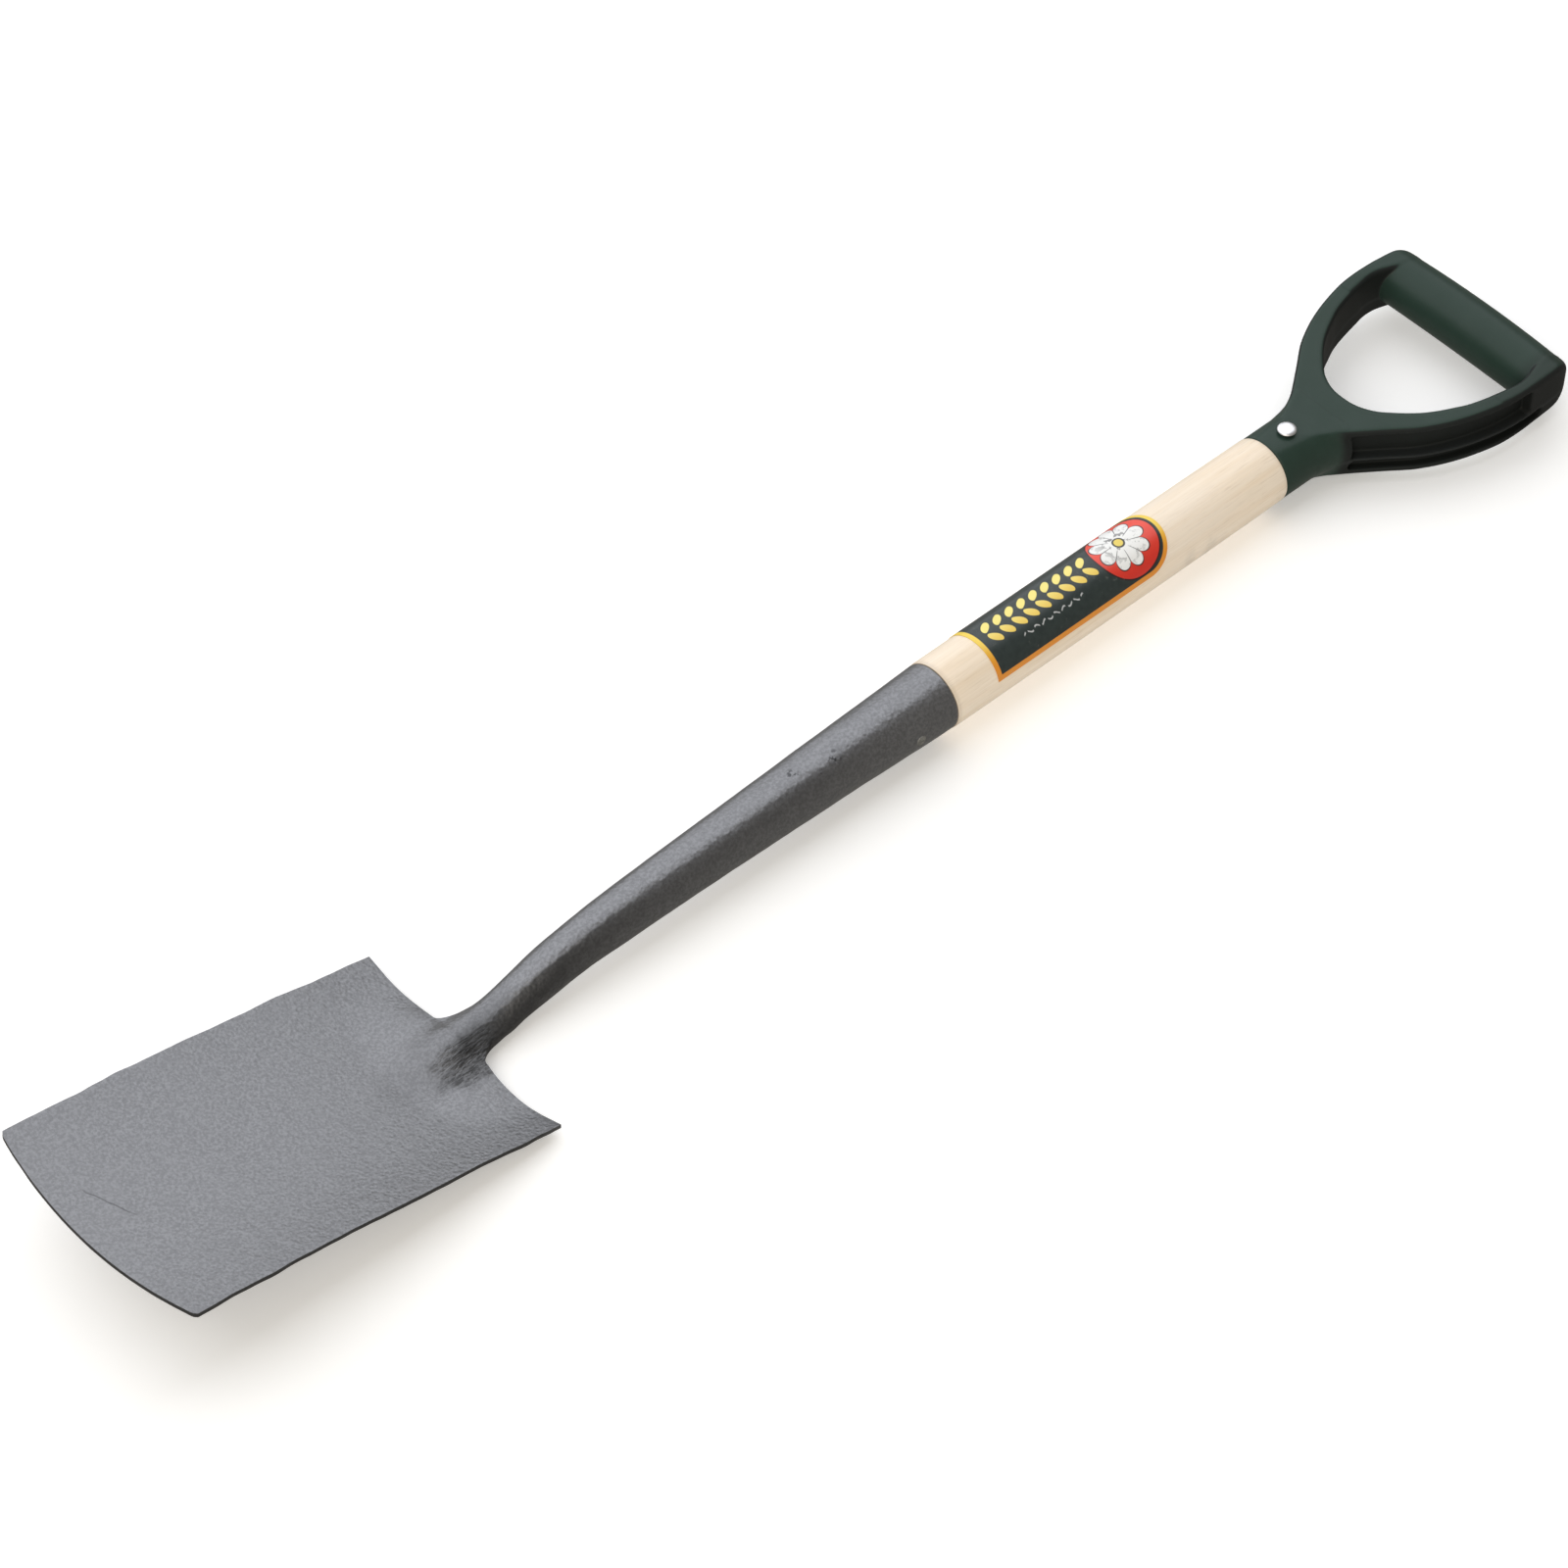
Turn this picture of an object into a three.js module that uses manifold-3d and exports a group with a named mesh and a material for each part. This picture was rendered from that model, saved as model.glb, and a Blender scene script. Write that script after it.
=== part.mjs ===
// A border spade lying on its back, in millimetres.
// X runs up the shaft from the mouth of the socket (X = 0) to the grip, Y runs across the blade,
// and Z points up out of the blade's hollow face. The finished tool is centred over the origin.
import * as THREE from "three";
import { mergeVertices } from "three/addons/utils/BufferGeometryUtils.js";
import Module from "manifold-3d";

const wasm = await Module();
wasm.setup();

const paint = new THREE.MeshStandardMaterial({ color: 0x6f7173, roughness: 0.45, metalness: 0.3 });
const ash = new THREE.MeshStandardMaterial({ color: 0xe6d3b8, roughness: 0.55, metalness: 0 });
const steel = new THREE.MeshStandardMaterial({ color: 0xc9cacc, roughness: 0.3, metalness: 1 });
const greenPlastic = new THREE.MeshStandardMaterial({ color: 0x14271e, roughness: 0.25, metalness: 0 });
const print = new THREE.MeshStandardMaterial({ color: 0x1d2b24, roughness: 0.5, metalness: 0 });

const blade = {
  tipX: -534.0, shoulderX: -312.4, halfTip: 70.4, halfShoulder: 69.7, sideBulge: 0.5,
  tipZ: 32.8, shoulderZ: -18.0, bow: 3, dish: 7.5, tipArc: 9, shoulderSag: 1.6, halfThick: 1.1,
  cornerCut: 1.2,
};
// The forged neck swells out of the blade as a ridge that fades towards the tip.
const ridge = {
  height: 6.2, halfWidth: 19, fadeLength: 44, rootHalf: 20.6, rootX: -314, filletLength: 12, lift: 10.5,
  liftWidth: 58, roundLength: 30, settleLength: 22, rowsLength: 21, rowsCrowd: 1.7,
};
// Socket stations: distance along the shaft, half width, half height and drop of the centre.
const socketStations = [
  [-314, 12.9, 8.6, -15.0], [-303, 12.2, 9.2, -15.3], [-292, 11.5, 10.0, -14.6],
  [-287, 11.1, 10.4, -13.5], [-282, 10.9, 10.8, -12.0], [-277, 11.1, 11.1, -10.6],
  [-272, 11.35, 11.35, -9.4], [-262, 11.8, 11.8, -7.2], [-251, 12.0, 12.0, -5.3],
  [-236, 12.35, 12.35, -3.4], [-220, 13.0, 13.0, -2.3], [-189, 13.75, 13.75, -1.4],
  [-158, 14.45, 14.45, -0.8], [-127, 15.2, 15.2, -0.5], [-90, 16.25, 16.25, -0.2],
  [-53, 17.2, 17.2, 0], [-20, 18.2, 18.2, 0], [0, 18.7, 18.7, 0],
];
const socketBore = { mouthRadius: 16.9, mouthFlare: 0.04, endRadius: 10.4, depth: 150, tailRoom: 4 };
const columns = { outer: 9, centre: 16 };
const rows = { blade: 18, neck: 9 };

const shaft = {
  tailRadius: 10.2, tailLength: 148.5, body: [[1, 19], [60, 19.05], [160, 19.05], [210, 18.87]],
  topRadius: 18.7, length: 237.6, tenonRadius: 13.5, tenonLength: 34, gap: 0.2,
};
const socketRivet = { x: -25, radius: 3.1, hole: 3.2, halfLength: 17.7, dome: 0.1, headHeight: 0.9 };

const handle = {
  x: 237.8, drop: -1.2, halfDepth: 16.35, capRadius: 15.3, edgeRadius: 3,
  ferruleRadius: 18.5, boreRadius: 13.7, boreDepth: 35.5, mouthDepth: 19.4, flatFrom: 34,
  taperFrom: 118, backReach: 20, gripAt: 157.4, gripRadius: 14.9, gripHalf: 54.5,
};
// The ferrule swells into the arms: distance from its mouth and radius.
const ferruleFlare = [[22, 18.5], [30, 19.5], [36, 20.8], [40, 22], [44, 23.4]];
// Outline of one arm, as distance from the ferrule mouth and distance from the middle.
const armOuter = [
  [14, 5], [23, 8.4], [30, 12.8], [37, 17.8], [44, 22.6], [52, 28.4], [60, 34.3], [66, 38.9], [72, 43.2],
  [80, 47.6], [88, 51.3], [96, 54.3], [104, 56.7], [113, 58.9], [122, 60.5], [132, 61.4], [142, 61.4],
  [151, 60.6], [156, 59.6],
];
const armTip = [[164.4, 57], [172, 50.4], [164, 45.2]];
const armInner = [
  [154, 47.5], [147.5, 50.2], [141, 52.3], [134, 52.7], [127, 51.5], [119, 50.3], [112, 48.7],
  [104, 46.3], [97, 43.1], [89.5, 39.4], [82, 34.8], [75, 29], [69.5, 23.6], [65, 18.6],
  [61.5, 12.3], [59.6, 6], [59.2, 0],
];
const channel = {
  halfHeight: 10.7, depth: 4.5, from: 39, to: 138, endRun: 4, endRise: 1.6, endLean: 2, clear: 80,
};
const handleRivet = {
  at: 16.3, radius: 3.2, hole: 3.4, halfLength: 18.55, dome: 0.3, headRadius: 5.2, headHeight: 1.5,
};

const label = {
  from: 28, to: 156, halfAngle: 71, centreAngle: -4, radius: 19.14, thick: 0.22, roundShare: 0.82,
  edge: 0.999,
};

const shaftSegments = 64;
const drill = { length: 60, segments: 32 };
// Outline of a rivet's head, as shares of its radius and height.
const rivetHead = [[1, 0], [0.98, 0.45], [0.72, 0.86]];

// Turns any closed geometry into a solid the booleans can work on.
function solid(geometry, matrix) {
  const plain = geometry.index ? geometry.toNonIndexed() : geometry.clone();
  const bare = new THREE.BufferGeometry().setAttribute("position", plain.getAttribute("position"));
  if (matrix) bare.applyMatrix4(matrix);
  const merged = mergeVertices(bare, 1e-3);
  const made = new wasm.Manifold(new wasm.Mesh({
    numProp: 3,
    vertProperties: merged.attributes.position.array,
    triVerts: new Uint32Array(merged.index.array),
  }));
  return made;
}

// Turns a solid back into a drawable geometry.
function geometryOf(shape) {
  const { numProp, vertProperties, triVerts } = shape.getMesh();
  const geometry = new THREE.BufferGeometry();
  const data = new THREE.InterleavedBuffer(vertProperties, numProp);
  geometry.setAttribute("position", new THREE.InterleavedBufferAttribute(data, 3, 0));
  geometry.setIndex(new THREE.BufferAttribute(triVerts, 1));
  const flat = geometry.toNonIndexed();
  flat.computeVertexNormals();
  return flat;
}

function mesh(name, geometry, material) {
  const made = new THREE.Mesh(geometry, material);
  made.name = name;
  return made;
}

// A turned shape whose axis is X; the profile lists [distance along X, radius].
function turned(profile, segments) {
  const points = profile.map(([along, radius]) => new THREE.Vector2(radius, along));
  return new THREE.LatheGeometry(points, segments).rotateZ(-Math.PI / 2);
}

const smoothstep = (t) => THREE.MathUtils.smoothstep(t, 0, 1);

// Reads one column of the socket table at a distance x, easing between stations.
function station(x, column) {
  const curve = socketStations;
  if (x <= curve[0][0]) return curve[0][column];
  const i = Math.min(curve.findIndex((s) => s[0] >= x), curve.length - 1);
  const [a, b] = [curve[Math.max(i - 1, 0)], curve[i]];
  return THREE.MathUtils.lerp(a[column], b[column], (x - a[0]) / (b[0] - a[0] || 1));
}

const ridgeFade = (x) => 1 - smoothstep((ridge.rootX - x) / ridge.fadeLength);

// Height of the blade's middle surface, and half its thickness where the ridge rises from it.
function bladeHeight(x, y) {
  const t = (x - blade.shoulderX) / (blade.tipX - blade.shoulderX);
  const half = THREE.MathUtils.lerp(blade.halfShoulder, blade.halfTip, t);
  const chord = THREE.MathUtils.lerp(blade.shoulderZ, blade.tipZ, t) + blade.bow * 4 * t * (1 - t);
  const reach = Math.min(1, Math.abs(y) / ridge.liftWidth);
  const lift = ridge.lift * ridgeFade(x) * Math.cos((reach * Math.PI) / 2) ** 2;
  return chord - blade.dish * Math.max(0, 1 - (y / half) ** 2) + lift;
}

function bladeHalfThickness(x, y) {
  const reach = Math.min(1, Math.abs(y) / ridge.halfWidth);
  return blade.halfThick + ridge.height * ridgeFade(x) * Math.cos((reach * Math.PI) / 2) ** 2;
}

// Column positions across the blade, denser in the middle where the neck grows out.
function bladeColumns(half) {
  const { outer, centre } = columns;
  const inner = Array.from({ length: centre + 1 }, (_, j) => ridge.rootHalf * ((2 * j) / centre - 1));
  const side = Array.from({ length: outer }, (_, j) =>
    THREE.MathUtils.lerp(ridge.rootHalf, half, (j + 1) / outer));
  return [...side.map((y) => -y).reverse(), ...inner, ...side];
}

function bladeRow(i) {
  const t = i / rows.blade;
  const half = THREE.MathUtils.lerp(blade.halfTip, blade.halfShoulder, t)
    + blade.sideBulge * 4 * t * (1 - t);
  return bladeColumns(half).map((y, j, all) => {
    const corner = i === 0 && (j === 0 || j === all.length - 1) ? blade.cornerCut : 0;
    const tip = blade.tipX - blade.tipArc * (1 - (y / blade.halfTip) ** 2) + corner;
    const shoulder = blade.shoulderX - blade.shoulderSag * Math.cos((y / half) * (Math.PI / 2));
    const x = THREE.MathUtils.lerp(tip, shoulder, t);
    const z = bladeHeight(x, y);
    const thick = bladeHalfThickness(x, y);
    return { top: [x, y, z + thick], bottom: [x, y, z - thick] };
  });
}

// One cross-section of the neck: the blade's ridge at its root, easing into a round tube.
function neckRow(x) {
  const along = x - ridge.rootX;
  const roundness = smoothstep(Math.min(1, along / ridge.roundLength));
  const fillet = Math.min(1, along / ridge.filletLength);
  const flare = (ridge.rootHalf - station(ridge.rootX, 1)) * (1 - Math.sqrt(1 - (1 - fillet) ** 2));
  const width = station(x, 1) + flare;
  const step = Math.PI / (columns.centre + 1);
  return Array.from({ length: columns.centre + 1 }, (_, j) => {
    const even = (2 * j) / columns.centre - 1;
    const angle = Math.PI - step * (j + 0.5);
    const y = width * THREE.MathUtils.lerp(even, Math.cos(angle), roundness);
    const flat = { z: bladeHeight(ridge.rootX, y), thick: bladeHalfThickness(ridge.rootX, y) };
    const tube = { z: station(x, 3), thick: station(x, 2) * Math.sin(angle) };
    const z = THREE.MathUtils.lerp(flat.z, tube.z, smoothstep(Math.min(1, along / ridge.settleLength)));
    const thick = THREE.MathUtils.lerp(flat.thick, tube.thick, roundness);
    return { top: [x, y, z + thick], bottom: [x, y, z - thick] };
  });
}

// Closes two matching sheets of vertices into one body: quads on top, the same turned over
// underneath, and a wall along every open edge.
function thickSheet(points, quads) {
  const position = [...points.flatMap((p) => p.top), ...points.flatMap((p) => p.bottom)];
  const under = points.length;
  const triangles = quads.flatMap(([a, b, c, d]) => [[a, b, c], [a, c, d]]);
  const index = triangles.flatMap(([a, b, c]) => [a, b, c, c + under, b + under, a + under]);
  const edges = new Set(triangles.flatMap(([a, b, c]) => [a + " " + b, b + " " + c, c + " " + a]));
  for (const edge of edges) {
    const [a, b] = edge.split(" ").map(Number);
    if (edges.has(b + " " + a)) continue;
    index.push(b, a, a + under, b, a + under, b + under);
  }
  const geometry = new THREE.BufferGeometry();
  geometry.setAttribute("position", new THREE.Float32BufferAttribute(position, 3));
  geometry.setIndex(index);
  return geometry;
}

function forging() {
  const points = [];
  const grid = [];
  const addRow = (row, offset) => {
    const line = row.map((p) => points.push(p) - 1);
    grid.push({ line, offset });
  };
  for (let i = 0; i <= rows.blade; i++) addRow(bladeRow(i), 0);
  for (let i = 1; i <= rows.neck; i++) {
    const along = ridge.rowsLength * (i / rows.neck) ** ridge.rowsCrowd;
    addRow(neckRow(ridge.rootX + along), columns.outer);
  }
  for (const [x] of socketStations.slice(2)) addRow(neckRow(x), columns.outer);
  const quads = [];
  for (let i = 1; i < grid.length; i++) {
    const [low, high] = [grid[i - 1], grid[i]];
    const skip = high.offset - low.offset;
    for (let j = 1; j < high.line.length; j++) {
      const [a, b] = [low.line[j - 1 + skip], low.line[j + skip]];
      quads.push([a, high.line[j - 1], high.line[j], b]);
    }
  }
  return thickSheet(points, quads);
}

function head() {
  const { mouthRadius, mouthFlare, endRadius, depth, tailRoom } = socketBore;
  const bore = turned([
    [-depth - tailRoom, 0], [-depth, endRadius], [1, mouthRadius + mouthFlare], [1, 0],
  ], shaftSegments);
  return geometryOf(solid(forging()).subtract(solid(bore)).subtract(solid(crossHole())));
}

function shaftWood() {
  const { tailRadius, tailLength, body, topRadius, length, tenonRadius, tenonLength, gap } = shaft;
  const neckRadius = socketBore.mouthRadius - gap;
  const profile = [
    [-tailLength, 0], [-tailLength, tailRadius], [gap, neckRadius], [gap, body[0][1]], ...body,
    [length - gap, topRadius], [length - gap, tenonRadius], [length + tenonLength, tenonRadius],
    [length + tenonLength, 0],
  ];
  const wood = solid(turned(profile, shaftSegments));
  return geometryOf(wood.subtract(solid(crossHole())).subtract(solid(pinHole(handle.x + handleRivet.at))));
}

// The hole for the socket's rivet, right through along Y.
function crossHole() {
  const { hole, x } = socketRivet;
  return new THREE.CylinderGeometry(hole, hole, drill.length, drill.segments).translate(x, 0, 0);
}

// A round hole right through along Z.
function pinHole(at) {
  const { hole } = handleRivet;
  const bit = new THREE.CylinderGeometry(hole, hole, drill.length, drill.segments);
  return bit.rotateX(Math.PI / 2).translate(at, 0, 0);
}

// A solid rivet along Z with a low dome at each end.
function rivet({ radius, halfLength, dome, headRadius = radius, headHeight }) {
  const end = (side) => [
    [radius, halfLength], ...rivetHead.map(([r, z]) => [r * headRadius, halfLength + z * headHeight]),
    [0, halfLength + headHeight + dome],
  ].map(([r, z]) => new THREE.Vector2(r, side * z));
  return new THREE.LatheGeometry([...end(-1).reverse(), ...end(1)], drill.segments).rotateX(Math.PI / 2);
}

function smoothLine(points, divisions) {
  const curve = new THREE.SplineCurve(points.map(([x, y]) => new THREE.Vector2(x, y)));
  return curve.getPoints(divisions);
}

// Points of a line moved sideways by a distance, towards the middle of the handle.
function inset(line, distance) {
  return line.map((p, i) => {
    const ahead = line[Math.min(i + 1, line.length - 1)].clone().sub(line[Math.max(i - 1, 0)]).normalize();
    return new THREE.Vector2(p.x + ahead.y * distance, p.y - ahead.x * distance);
  });
}

function plate(shape, halfDepth, bevel) {
  const options = {
    depth: 2 * (halfDepth - bevel), bevelEnabled: bevel > 0, bevelThickness: bevel, bevelSize: bevel,
    bevelOffset: -bevel, bevelSegments: 3,
  };
  return new THREE.ExtrudeGeometry(shape, options).translate(0, 0, bevel - halfDepth);
}

function handleYoke() {
  const outer = smoothLine(armOuter, 34);
  const inner = smoothLine(armInner, 30);
  const outline = [...outer, ...armTip.map(([x, y]) => new THREE.Vector2(x, y)), ...inner];
  const other = outline.map((p) => new THREE.Vector2(p.x, -p.y)).reverse();
  const shape = new THREE.Shape([...outline, ...other.slice(1)]);
  return solid(plate(shape, handle.halfDepth, handle.edgeRadius));
}

// Side view of the handle: flattening out of the round ferrule, rounded over around the grip.
function handleEnvelope() {
  const { halfDepth, capRadius, gripAt, flatFrom, mouthDepth, taperFrom, backReach } = handle;
  const side = new THREE.Shape();
  side.moveTo(-backReach, -mouthDepth);
  side.lineTo(0, -mouthDepth);
  side.lineTo(flatFrom, -halfDepth);
  side.lineTo(taperFrom, -halfDepth);
  side.lineTo(gripAt, -capRadius);
  side.absarc(gripAt, 0, capRadius, -Math.PI / 2, Math.PI / 2, false);
  side.lineTo(taperFrom, halfDepth);
  side.lineTo(flatFrom, halfDepth);
  side.lineTo(0, mouthDepth);
  side.lineTo(-backReach, mouthDepth);
  const depth = 2 * channel.clear;
  const geometry = new THREE.ExtrudeGeometry(side, { depth, bevelEnabled: false, curveSegments: 20 });
  return solid(geometry.translate(0, 0, -depth / 2).rotateX(Math.PI / 2));
}

// The hollow along the outside of one arm; side is 1 or -1.
function armChannel(side) {
  const { endRun, endRise, endLean } = channel;
  const line = smoothLine(armOuter, 60).filter((p) => p.x > channel.from && p.x < channel.to);
  const floor = inset(line, channel.depth);
  const last = floor[floor.length - 1];
  const outline = [
    new THREE.Vector2(floor[0].x, channel.clear), ...floor,
    new THREE.Vector2(last.x + endRun, last.y + endRise),
    new THREE.Vector2(last.x + endRun + endLean, channel.clear),
  ].map((p) => new THREE.Vector2(p.x, p.y * side));
  return solid(plate(new THREE.Shape(outline), channel.halfHeight, 0));
}

function handleGrip() {
  const { ferruleRadius, boreRadius, boreDepth, gripAt, gripRadius, gripHalf } = handle;
  const ferrule = turned([
    [0, 0], [0, ferruleRadius], ...ferruleFlare, [ferruleFlare[ferruleFlare.length - 1][0], 0],
  ], shaftSegments);
  const bore = turned([[-1, 0], [-1, boreRadius], [boreDepth, boreRadius], [boreDepth, 0]], shaftSegments);
  const grip = new THREE.CylinderGeometry(gripRadius, gripRadius, 2 * gripHalf, 48).translate(gripAt, 0, 0);
  const arms = handleYoke().subtract(armChannel(1)).subtract(armChannel(-1)).add(solid(grip));
  const made = arms.intersect(handleEnvelope()).translate([0, 0, handle.drop]).add(solid(ferrule));
  return geometryOf(made.subtract(solid(bore)).subtract(solid(pinHole(handleRivet.at))));
}

// A thin printed sheet wrapped round the shaft, square at one end and rounded at the other.
function labelSheet() {
  const { from, to, halfAngle, radius, thick, roundShare, edge } = label;
  const steps = 24, tile = 14;
  const points = [];
  const quads = [];
  const reach = THREE.MathUtils.degToRad(halfAngle);
  const roundEnd = radius * reach;
  for (let i = 0; i <= steps; i++) {
    const across = (2 * i) / steps - 1;
    const end = to - roundEnd * roundShare * (1 - Math.sqrt(1 - (edge * across) ** 2));
    for (let j = 0; j <= tile; j++) {
      const x = THREE.MathUtils.lerp(from, end, j / tile);
      const angle = across * reach;
      const at = (r) => [x, r * Math.sin(angle), r * Math.cos(angle)];
      points.push({ top: at(radius + thick), bottom: at(radius) });
      if (!i || !j) continue;
      const here = i * (tile + 1) + j;
      quads.push([here - tile - 2, here - tile - 1, here, here - 1]);
    }
  }
  return thickSheet(points, quads);
}

const spade = new THREE.Group();
spade.add(mesh("head", head(), paint));
spade.add(mesh("shaft", shaftWood(), ash));

const lowerRivet = mesh("socket_rivet", rivet(socketRivet), steel);
lowerRivet.rotation.x = Math.PI / 2;
lowerRivet.position.x = socketRivet.x;
spade.add(lowerRivet);

const grip = new THREE.Group();
grip.position.x = handle.x;
grip.add(mesh("handle", handleGrip(), greenPlastic));
const upperRivet = mesh("handle_rivet", rivet(handleRivet), steel);
upperRivet.position.x = handleRivet.at;
grip.add(upperRivet);
spade.add(grip);

const sticker = mesh("label", labelSheet(), print);
sticker.rotation.x = THREE.MathUtils.degToRad(-label.centreAngle);
spade.add(sticker);

// Stand the tool's box on the ground, centred over the origin.
const box = new THREE.Box3().setFromObject(spade, true);
const middle = box.getCenter(new THREE.Vector3());
spade.position.set(-middle.x, -middle.y, -box.min.z);

export default spade;
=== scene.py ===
import math
import bpy
import bmesh
import numpy as np
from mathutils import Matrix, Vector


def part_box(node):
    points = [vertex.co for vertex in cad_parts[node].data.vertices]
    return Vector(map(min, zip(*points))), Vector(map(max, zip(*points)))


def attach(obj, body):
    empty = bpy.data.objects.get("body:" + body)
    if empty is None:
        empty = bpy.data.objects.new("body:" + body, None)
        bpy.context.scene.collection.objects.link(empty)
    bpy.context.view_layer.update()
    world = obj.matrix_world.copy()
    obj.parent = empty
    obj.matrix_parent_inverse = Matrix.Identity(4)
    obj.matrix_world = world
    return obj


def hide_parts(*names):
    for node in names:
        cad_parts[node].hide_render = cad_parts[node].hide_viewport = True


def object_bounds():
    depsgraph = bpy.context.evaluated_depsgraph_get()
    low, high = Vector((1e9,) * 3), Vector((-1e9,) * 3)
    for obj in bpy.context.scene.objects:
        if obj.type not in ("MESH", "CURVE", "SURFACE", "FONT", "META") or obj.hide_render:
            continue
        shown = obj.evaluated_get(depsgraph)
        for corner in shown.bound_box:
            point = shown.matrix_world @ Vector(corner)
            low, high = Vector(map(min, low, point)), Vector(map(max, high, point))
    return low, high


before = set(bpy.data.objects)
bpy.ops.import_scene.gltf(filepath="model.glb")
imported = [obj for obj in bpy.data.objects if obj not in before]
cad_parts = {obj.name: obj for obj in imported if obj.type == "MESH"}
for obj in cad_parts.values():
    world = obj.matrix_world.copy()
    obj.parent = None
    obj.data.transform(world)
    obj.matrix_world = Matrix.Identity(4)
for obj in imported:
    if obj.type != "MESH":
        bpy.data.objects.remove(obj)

import openvdb
from mathutils import Matrix, Vector, noise

cadBox = [list(corner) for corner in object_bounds()]
shaftLow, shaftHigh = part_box("shaft")
# Everything below is measured from the mouth of the socket, on the shaft's axis.
tailLength = 0.1485
mouth = Vector((shaftLow.x + tailLength, (shaftLow.y + shaftHigh.y) / 2, (shaftLow.z + shaftHigh.z) / 2))
scene = bpy.context.scene


class Wire:
    # a node socket that can be used in Python expressions
    def __init__(self, tree, socket):
        self.tree, self.socket = tree, socket

    def maths(self, operation, *others):
        return self.tree.node("ShaderNodeMath", {"operation": operation}, dict(enumerate(others)))

    def __add__(self, other):
        return self.maths("ADD", self, other)

    __radd__ = __add__

    def __sub__(self, other):
        return self.maths("SUBTRACT", self, other)

    def __rsub__(self, other):
        return self.maths("SUBTRACT", other, self)

    def __mul__(self, other):
        return self.maths("MULTIPLY", self, other)

    __rmul__ = __mul__

    def __truediv__(self, other):
        return self.maths("DIVIDE", self, other)

    def __pow__(self, other):
        return self.maths("POWER", self, other)

    def __abs__(self):
        return self.maths("ABSOLUTE", self)

    def smaller(self, other):
        return self.maths("MINIMUM", self, other)

    def larger(self, other):
        return self.maths("MAXIMUM", self, other)

    def step(self, low, high, fromValue=0.0, toValue=1.0):
        # smooth change from one value to the other between low and high
        inputs = {"Value": self, "From Min": low, "From Max": high, "To Min": fromValue, "To Max": toValue}
        smooth = {"interpolation_type": "SMOOTHSTEP", "clamp": True}
        return self.tree.node("ShaderNodeMapRange", smooth, inputs)

    def band(self, middle, inner, outer):
        # 1 near the middle value, falling to 0 on both sides of it
        return abs(self - middle).step(inner, outer, 1.0, 0.0)


class Finish:
    # one material and the nodes that make it
    def __init__(self, name, constants):
        self.material = bpy.data.materials.new(name)
        self.material.use_nodes = True
        self.tree = self.material.node_tree
        self.shader = next(n for n in self.tree.nodes if n.type == "BSDF_PRINCIPLED")
        for socket, value in constants.items():
            self.shader.inputs[socket].default_value = value
        self.point = self.node("ShaderNodeTexCoord", {}, {}, "Object")

    def plug(self, socket, value):
        if isinstance(value, Wire):
            self.tree.links.new(value.socket, socket)
        else:
            socket.default_value = value

    def node(self, kind, settings=None, inputs=None, output=0):
        made = self.tree.nodes.new(kind)
        for name, value in (settings or {}).items():
            if name == "stops":
                ramp = made.color_ramp
                while len(ramp.elements) < len(value):
                    ramp.elements.new(0.5)
                for element, (position, colour) in zip(ramp.elements, value):
                    element.position, element.color = position, (*colour, 1)
            else:
                setattr(made, name, value)
        for name, value in (inputs or {}).items():
            self.plug(made.inputs[name], value)
        return Wire(self, made.outputs[output])

    def axes(self, vector=None):
        split = self.node("ShaderNodeSeparateXYZ", {}, {0: vector or self.point})
        return [Wire(self, split.socket.node.outputs[i]) for i in range(3)]

    def stretched(self, x, y, z, vector=None):
        inputs = {0: vector or self.point, 1: (x, y, z)}
        return self.node("ShaderNodeVectorMath", {"operation": "MULTIPLY"}, inputs)

    def shifted(self, vector, by, amount):
        scaled = self.node("ShaderNodeVectorMath", {"operation": "SCALE"}, {0: by, "Scale": amount})
        return self.node("ShaderNodeVectorMath", {"operation": "ADD"}, {0: vector, 1: scaled})

    def distance(self, first, second):
        return self.node("ShaderNodeVectorMath", {"operation": "DISTANCE"}, {0: first, 1: second}, 1)

    def angle(self, rise, run):
        return self.node("ShaderNodeMath", {"operation": "ARCTAN2"}, {0: rise, 1: run})

    def grain(self, scale, detail=2.0, roughness=0.5, vector=None, output=0):
        inputs = {"Vector": vector or self.point, "Scale": scale, "Detail": detail, "Roughness": roughness}
        return self.node("ShaderNodeTexNoise", {}, inputs, output)

    def cells(self, scale, feature):
        return self.node("ShaderNodeTexVoronoi", {"feature": feature}, {"Vector": self.point, "Scale": scale})

    def ramp(self, factor, stops):
        return self.node("ShaderNodeValToRGB", {"stops": stops}, {0: factor})

    def mix(self, factor, first, second):
        # sockets 6 and 7 are the node's two colours, and its output 2 is the mixed one
        first, second = [c if isinstance(c, Wire) else (*c, 1) for c in (first, second)]
        settings = {"data_type": "RGBA", "clamp_factor": True}
        return self.node("ShaderNodeMix", settings, {0: factor, 6: first, 7: second}, 2)

    def bump(self, height, distance, strength=1.0, below=None):
        inputs = {"Height": height, "Distance": distance, "Strength": strength}
        if below:
            inputs["Normal"] = below
        return self.node("ShaderNodeBump", {}, inputs)

    def wear(self, **sockets):
        names = {"colour": "Base Color", "roughness": "Roughness", "normal": "Normal"}
        for name, value in sockets.items():
            self.plug(self.shader.inputs[names[name]], value)
        return self.material


def smoothStep(t):
    t = min(1.0, max(0.0, t))
    return t * t * (3 - 2 * t)


def blend(a, b, t):
    return a + (b - a) * t


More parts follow.
